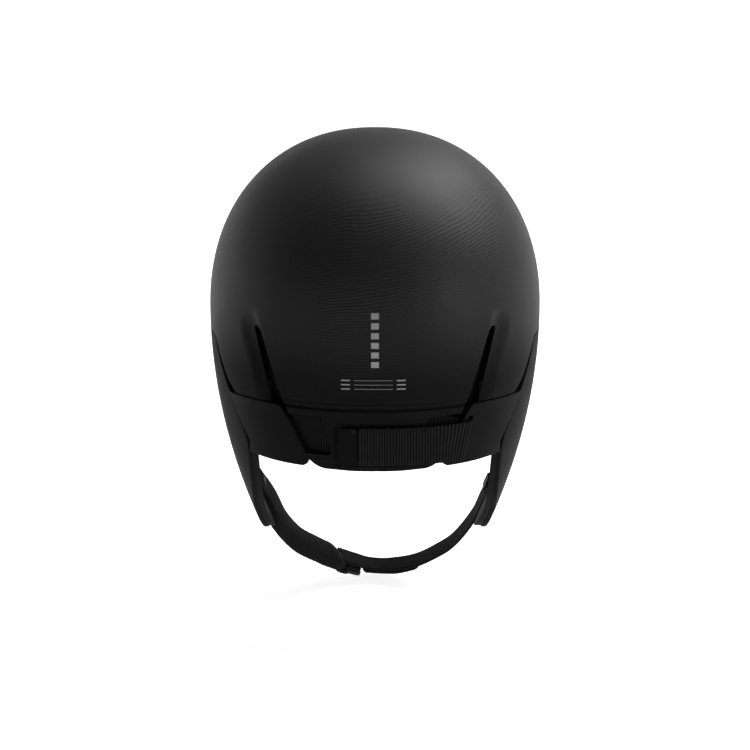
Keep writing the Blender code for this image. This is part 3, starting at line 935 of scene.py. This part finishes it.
def make_ear_mesh(side, word):
    """Perforated cover over the ear port: a slightly domed disc with a raised rim."""
    middle = at_side(PORT_BEHIND, PORT_LEVEL, COVER_INSET, side)
    bm = bmesh.new()
    rings = 10
    rims = []
    for dome, rim, depth in ((COVER_DOME, 0.0006, 0.0), (0.0, 0.0, COVER_THICK)):
        hub = Vector((side * (COVER_DOME - depth), 0, 0))
        centre = bm.verts.new(middle + hub)
        last = None
        for share in spread(1 / rings, 1.0, rings):
            lift = (rim if share > RIM_START else 0.0) + dome * (1 - share ** 2) - depth
            level = middle + Vector((side * lift, 0, 0))
            row = [bm.verts.new(p) for p in circle(level, COVER_RADIUS * share)]
            if last:
                join_rings(bm, last, row)
            else:
                for k in range(len(row)):
                    bm.faces.new((centre, row[k - 1], row[k]))
            last = row
        rims.append(last)
    join_rings(bm, *rims)
    bmesh.ops.recalc_face_normals(bm, faces=bm.faces)
    cover = finish_mesh("ear_cover_" + word, bm, MESH_LOOK)
    fit(cover, "ear_" + word, "fabric", "ear_mesh_" + word)


def make_ear_side(side, word):
    body = "ear_" + word
    panel = side_patch("ear_skin_" + word, EAR_LOOK, side, FLAP_END, FLAP_TOP, 0.0, FLAP_THICK, 40, 90,
                       0.0009, thin_top=0.0011)
    make_port(panel, side)
    fit(panel, body, "flap_plastic", "ear_flap_" + word)
    pad = side_patch("ear_cushion_" + word, EAR_PAD_LOOK, side, FLAP_END + 0.0006, PAD_TOP,
                     FLAP_THICK + 0.0003, 0.0074, 40, 70, 0.0022, margins=(0.0010, 0.0006), swell=0.0012,
                     segments=5)
    make_port(pad, side)
    fit(pad, body, "foam", "ear_pad_" + word)
    make_ear_mesh(side, word)


make_ear_side(-1, "left")
make_ear_side(1, "right")


# ---------------- chin strap

def spline(points, steps):
    """A smooth line through points, with equal steps between each pair."""
    points = [Vector(p) for p in points]
    ends = [points[0] * 2 - points[1]] + points + [points[-1] * 2 - points[-2]]
    line = []
    for a, b, c, d in zip(ends, ends[1:], ends[2:], ends[3:]):
        for k in range(steps):
            t = k / steps
            line.append(0.5 * ((2 * b) + (c - a) * t + (2 * a - 5 * b + 4 * c - d) * t ** 2
                               + (3 * b - a - 3 * c + d) * t ** 3))
    return line + [points[-1]]


def ribbon(name, look, points, width, thick, steps, rows, rounding, lift=0.0, puff=0.0, ends=0.0, taper=0.0,
           segments=3, ripple=0.0):
    """A flat band along a smooth line.

    lift moves it off the line, puff swells the middle of its width, ends rounds its outline, taper is the
    length over which it grows to its full thickness, and ripple is the height of its soft waves.
    """
    line = spline(points, steps)
    reach = distances(line)
    whole = reach[-1]

    def place(i, j, w):
        run = (line[min(i + 1, len(line) - 1)] - line[max(i - 1, 0)]).normalized()
        across = (Vector((0, 1, 0)) - run * run.y).normalized()
        normal = run.cross(across)
        v = 2 * j / (rows - 1) - 1
        half = width / 2 - corner_cut(min(reach[i], whole - reach[i]), ends)
        thin = 1.0
        if taper:
            thin = 0.30 + 0.70 * smooth(0.0, taper, reach[i])
            thin *= 0.75 + 0.25 * smooth(0.0, 0.006, whole - reach[i])
        body = (thick / 2 + puff * (1 - abs(v) ** 2.6)) * thin
        wave = ripple * sin(reach[i] * 900 + 1.7 * v) * (1 - v ** 2)
        return line[i] + across * half * v + normal * (body * (1 if w else -1) + lift + wave)

    def uv(i, j):
        return reach[i], width * j / (rows - 1)

    return slab(name, look, len(line), rows, place, rounding, segments, uv=uv)


SLEEVE_LINE = ((-0.0770, -0.0100, -0.1180), (-0.0706, -0.0060, -0.1319), (-0.0650, -0.0010, -0.1492),
               (-0.0534, 0.0080, -0.1664), (-0.0382, 0.0180, -0.1786), (-0.0258, 0.0250, -0.1864))
WEBBING_LINE = ((0.0780, -0.0100, -0.1180), (0.0722, -0.0060, -0.1319), (0.0652, -0.0010, -0.1490),
                (0.0535, 0.0080, -0.1672), (0.0410, 0.0160, -0.1788), (0.0262, 0.0235, -0.1880),
                (0.0090, 0.0290, -0.1925), (-0.0037, 0.0300, -0.1922), (-0.0123, 0.0285, -0.1892),
                (-0.0236, 0.0262, -0.1846))
LAP_LINE = ((0.0310, 0.0213, -0.1856), (0.0180, 0.0268, -0.1908), (0.0090, 0.0290, -0.1925),
            (-0.0037, 0.0300, -0.1922), (-0.0085, 0.0293, -0.1908))
TONGUE_LINE = ((-0.0205, 0.0272, -0.1898), (-0.0105, 0.0288, -0.1938))
SOCKET_LINE = ((-0.0290, 0.0235, -0.1905), (-0.0215, 0.0270, -0.1935))
TAB_LINE = ((-0.0240, 0.0270, -0.1930), (-0.0105, 0.0290, -0.1972))


def make_chin_sleeve():
    sleeve = ribbon("chin_sleeve_pad", SLEEVE_LOOK, SLEEVE_LINE, 0.0290, 0.0070, 14, 20, 0.0020, puff=0.0024,
                    ends=0.0040, taper=0.034, segments=5, ripple=0.00010)
    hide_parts("chin_sleeve", "chin_root_left")
    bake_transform(sleeve)


def make_chin_webbing():
    web = ribbon("chin_web", WEB_LOOK, WEBBING_LINE, 0.0240, 0.0017, 12, 14, 0.0004, ripple=0.00008)
    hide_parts("chin_webbing", "chin_root_right")
    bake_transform(web)
    lap = ribbon("chin_web_lap", WEB_LOOK, LAP_LINE, 0.0238, 0.0016, 14, 14, 0.0005, lift=0.0021, ends=0.0015)
    fit(lap, "chin_right", "webbing", "webbing_lap")


def make_chin_plates():
    for side, word, inward in ((-1, "left", 0.0026), (1, "right", 0.0018)):
        line = ((side * (0.0773 - inward), -0.0080, -0.1185), (side * (0.0738 - inward), -0.0060, -0.1270))
        plate = ribbon("chin_plate_" + word, BAND_LOOK, line, 0.015, 0.0010, 12, 8, 0.0003, ends=0.003)
        fit(plate, "ear_" + word, "buckle_plastic", "chin_anchor_plate_" + word)


def make_buckle():
    parts = (("buckle_tongue", TONGUE_LINE, 0.020, 0.0018, 0.0005, 0.0035, "chin_right"),
             ("buckle_socket", SOCKET_LINE, 0.022, 0.0024, 0.0007, 0.0030, "chin_left"))
    for node, line, width, thick, rounding, ends, body in parts:
        piece = ribbon(node + "_skin", BUCKLE_LOOK, line, width, thick, 16, 12, rounding, ends=ends)
        fit(piece, body, "buckle_plastic", node)
    tab = ribbon("buckle_tab_skin", TAB_LOOK, TAB_LINE, 0.018, 0.0020, 16, 12, 0.0006, ends=0.0045)
    fit(tab, "pull_tab", "flap_plastic", "buckle_pull_tab")


make_chin_plates()
make_chin_sleeve()
make_chin_webbing()
make_buckle()


# ---------------- liner and pads

def arc_pad(name, look, start, end, low, high, face, back, columns, rows, rounding, swell=0.0, segments=4):
    """A pad or liner block between two azimuths (degrees), two levels and two insets."""
    def place(i, j, w):
        u, v = 2 * i / (columns - 1) - 1, 2 * j / (rows - 1) - 1
        angle = radians(start + (end - start) * i / (columns - 1))
        z = low + (high - low) * j / (rows - 1)
        puff = swell * ((1 - abs(u) ** 5) * (1 - abs(v) ** 5)) ** 0.5
        return at_azimuth(angle, z, back + puff if w else face)

    return slab(name, look, columns, rows, place, rounding, segments)


def cap_pad(name, look, low, face, back, columns, rows, rounding):
    """A pad over the crown, down to a level."""
    def place(i, j, w):
        inset = back if w else face
        top = CROWN_HEIGHT - inset
        rise = asin(min((low / top) ** (CROWN_POWER / 2), 1.0))
        z = top * sin(pi / 2 + (rise - pi / 2) * j / (rows - 1)) ** (2 / CROWN_POWER)
        return at_azimuth(2 * pi * i / columns, min(z, top), inset)

    return slab(name, look, columns, rows, place, rounding, 4, ring=True)


LINER_FACE, LINER_BACK, DEEP_LINER_FACE = SHELL + 0.0012, 0.018, 0.0085
LINER_TOP, LINER_TAIL = 0.0455, -0.0540
PAD_FACE, PAD_BACK = LINER_BACK + 0.0014, 0.0237
PAD_SWELL = 0.0014
PUFF_PRESSURE, PUFF_LIMIT = 4.0, 0.0018


def make_liner():
    crown = cap_pad("liner_crown_foam", FOAM_LOOK, 0.046, LINER_FACE, LINER_BACK, 96, 22, 0.0016)
    blocks = (("liner_front", 42, 138, -0.008, LINER_FACE, 60, 26),
              ("liner_left", 138.6, 200, 0.001, LINER_FACE, 40, 22),
              ("liner_right", -20, 41.4, 0.001, LINER_FACE, 40, 22),
              ("liner_rear_top", 244.0, 296.0, 0.012, LINER_FACE, 36, 18),
              ("liner_rear_left", 200.6, 243.5, LINER_TAIL, DEEP_LINER_FACE, 34, 40),
              ("liner_rear_right", -63.5, -20.6, LINER_TAIL, DEEP_LINER_FACE, 34, 40))
    made = [(crown, "liner_crown")]
    for name, start, end, low, face, columns, rows in blocks:
        block = arc_pad(name + "_foam", FOAM_LOOK, start, end, low, LINER_TOP, face, LINER_BACK, columns,
                        rows, 0.0020)
        made.append((block, name))
    for block, name in made:
        fit(block, "shell", "foam", name)
    flap = back_patch("flap_liner_foam", FOAM_LOOK, -0.6, 0.6, -0.036, 0.0065, LINER_FACE, 0.0142, 40, 26,
                      0.0022, swell=0.0008, share=flap_edge)
    fit(flap, "rear_flap_body", "foam", "flap_liner")


def puffed(pad):
    """Puff a pad with a short cloth simulation, its movement capped, and keep the result as its mesh."""
    rest = pad.copy()
    rest.data = pad.data.copy()
    bpy.context.scene.collection.objects.link(rest)
    remesh = rest.modifiers.new("remesh", "REMESH")
    remesh.mode = "VOXEL"
    remesh.voxel_size = 0.0022
    settle(rest)
    start = [v.co.copy() for v in rest.data.vertices]
    cloth = rest.modifiers.new("cloth", "CLOTH")
    cloth.settings.use_pressure = True
    cloth.settings.uniform_pressure_force = PUFF_PRESSURE
    cloth.settings.effector_weights.gravity = 0
    cloth.settings.quality = 5
    cloth.settings.tension_stiffness = 25
    cloth.settings.compression_stiffness = 25
    cloth.settings.bending_stiffness = 0.6
    cloth.collision_settings.use_collision = False
    scene = bpy.context.scene
    for frame_number in range(1, 13):
        scene.frame_set(frame_number)
    settle(rest)
    scene.frame_set(1)
    for v, before in zip(rest.data.vertices, start):
        move = v.co - before
        if move.length > PUFF_LIMIT:
            v.co = before + move * (PUFF_LIMIT / move.length)
    smoothing = rest.modifiers.new("smooth", "SMOOTH")
    smoothing.iterations = 4
    smoothing.factor = 0.5
    refine = rest.modifiers.new("refine", "SUBSURF")
    refine.levels = refine.render_levels = 1
    settle(rest)
    rest.data.materials.clear()
    rest.data.materials.append(KNIT_LOOK)
    rest.data.shade_smooth()
    name = pad.name
    bpy.data.objects.remove(pad, do_unlink=True)
    rest.name = name
    return rest


def make_pads():
    crown = cap_pad("pad_crown_knit", KNIT_LOOK, 0.0745, PAD_FACE, PAD_BACK, 72, 14, 0.0018)
    pads = [(crown, "pad_crown", "shell")]
    for name, start, end, low, high in (("pad_forehead", 55.5, 124.5, -0.0055, 0.0255),
                                        ("pad_left", 142.5, 197.5, 0.0045, 0.0355),
                                        ("pad_right", -17.5, 37.5, 0.0045, 0.0355)):
        pad = arc_pad(name + "_knit", KNIT_LOOK, start, end, low, high, PAD_FACE, PAD_BACK - PAD_SWELL,
                      44, 22, 0.0022, swell=PAD_SWELL, segments=5)
        pads.append((pad, name, "shell"))
    nape = back_patch("nape_pad_knit", KNIT_LOOK, -0.0235, 0.0235, -0.0715, -0.0380, 0.0068, 0.0108, 36, 28,
                      0.0018, swell=0.0012, corner=0.006)
    pads.append((nape, "nape_pad", "rear_flap_body"))
    for pad, node, body in pads:
        pad = puffed(pad)
        fit(pad, body, "fabric", node)


make_liner()
make_pads()


# ---------------- hardware that keeps its solid

HARDWARE = (("joiner_rivet", STEEL_LOOK), ("strap_anchor_rivet", STEEL_LOOK), ("ear_stud", STEEL_LOOK),
            ("joiner", BUCKLE_LOOK), ("strap_anchor_plate", BUCKLE_LOOK), ("ear_tab", EAR_LOOK))


def dress_hardware():
    """Give each node that is still shown the look of the first name that fits, and soft edges."""
    for name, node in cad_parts.items():
        if node.hide_render:
            continue
        node.data.materials.clear()
        node.data.materials.append(next(look for start, look in HARDWARE if name.startswith(start)))
        bevel = node.modifiers.new("round", "BEVEL")
        bevel.limit_method = "ANGLE"
        bevel.angle_limit = 0.9
        bevel.width = 0.0003
        bevel.segments = 2
        node.data.shade_smooth()
        node.data.set_sharp_from_angle(angle=0.6)


dress_hardware()


# ---------------- floor, light, camera

def aimed(name, data, place, target):
    obj = bpy.data.objects.new(name, data)
    bpy.context.scene.collection.objects.link(obj)
    obj.location = place
    obj.rotation_euler = (Vector(target) - Vector(place)).to_track_quat("-Z", "Y").to_euler()
    return obj


def set_camera():
    """A long lens behind the helmet and a little above it."""
    elevation = radians(15)
    up = Vector((0, sin(elevation), cos(elevation)))
    back = Vector((0, -cos(elevation), sin(elevation)))
    data = bpy.data.cameras.new("photo_camera")
    data.lens = 146
    data.sensor_width = 36
    data.clip_start = 0.05
    data.clip_end = 20
    target = up * -0.0492
    bpy.context.scene.camera = aimed("photo_camera", data, target + back * 2.0, target)


def set_light(name, place, target, size, power):
    data = bpy.data.lights.new(name, "AREA")
    data.shape = "RECTANGLE"
    data.size, data.size_y = size
    data.energy = power
    aimed(name, data, place, target)


def set_floor(level, radius=14):
    bm = bmesh.new()
    around = 48
    centre = bm.verts.new((0, 0, level))
    ring = [bm.verts.new((radius * cos(angle), radius * sin(angle), level))
            for angle in spread(0, 2 * pi, around + 1)[:-1]]
    for k in range(around):
        bm.faces.new((centre, ring[k - 1], ring[k]))
    finish_mesh("floor", bm, floor_look())


def set_world():
    """Dim surroundings that grow brighter towards the front, over a pale glow along the horizon."""
    world = bpy.data.worlds.new("studio")
    world.use_nodes = True
    nodes, links = world.node_tree.nodes, world.node_tree.links
    coords = nodes.new("ShaderNodeTexCoord")
    split = nodes.new("ShaderNodeSeparateXYZ")
    links.new(coords.outputs["Generated"], split.inputs[0])
    most = nodes.new("ShaderNodeMath")
    most.operation = "MAXIMUM"
    for k, (axis, low, high, at_low, at_high) in enumerate((("Y", -0.25, 0.55, 0.05, 0.34),
                                                            ("Z", 0.06, 0.28, 0.95, 0.0))):
        fade = mapped(world.node_tree, split.outputs[axis], low, high, at_low, at_high)
        links.new(fade, most.inputs[k])
    links.new(most.outputs[0], nodes["Background"].inputs["Strength"])
    nodes["Background"].inputs["Color"].default_value = (1, 1, 1, 1)
    bpy.context.scene.world = world


set_camera()
set_floor(-0.2020)
set_world()
set_light("key", (0.74, 0.58, 1.30), (0.03, -0.05, 0.02), (1.3, 1.3), 29)
set_light("side", (1.40, -0.90, 0.20), (0.05, -0.05, -0.05), (0.5, 0.9), 9)
set_light("rim_left", (-1.3, 0.60, 0.30), (-0.08, 0, -0.03), (0.3, 1.0), 0.4)
bpy.context.scene.view_settings.view_transform = "Standard"
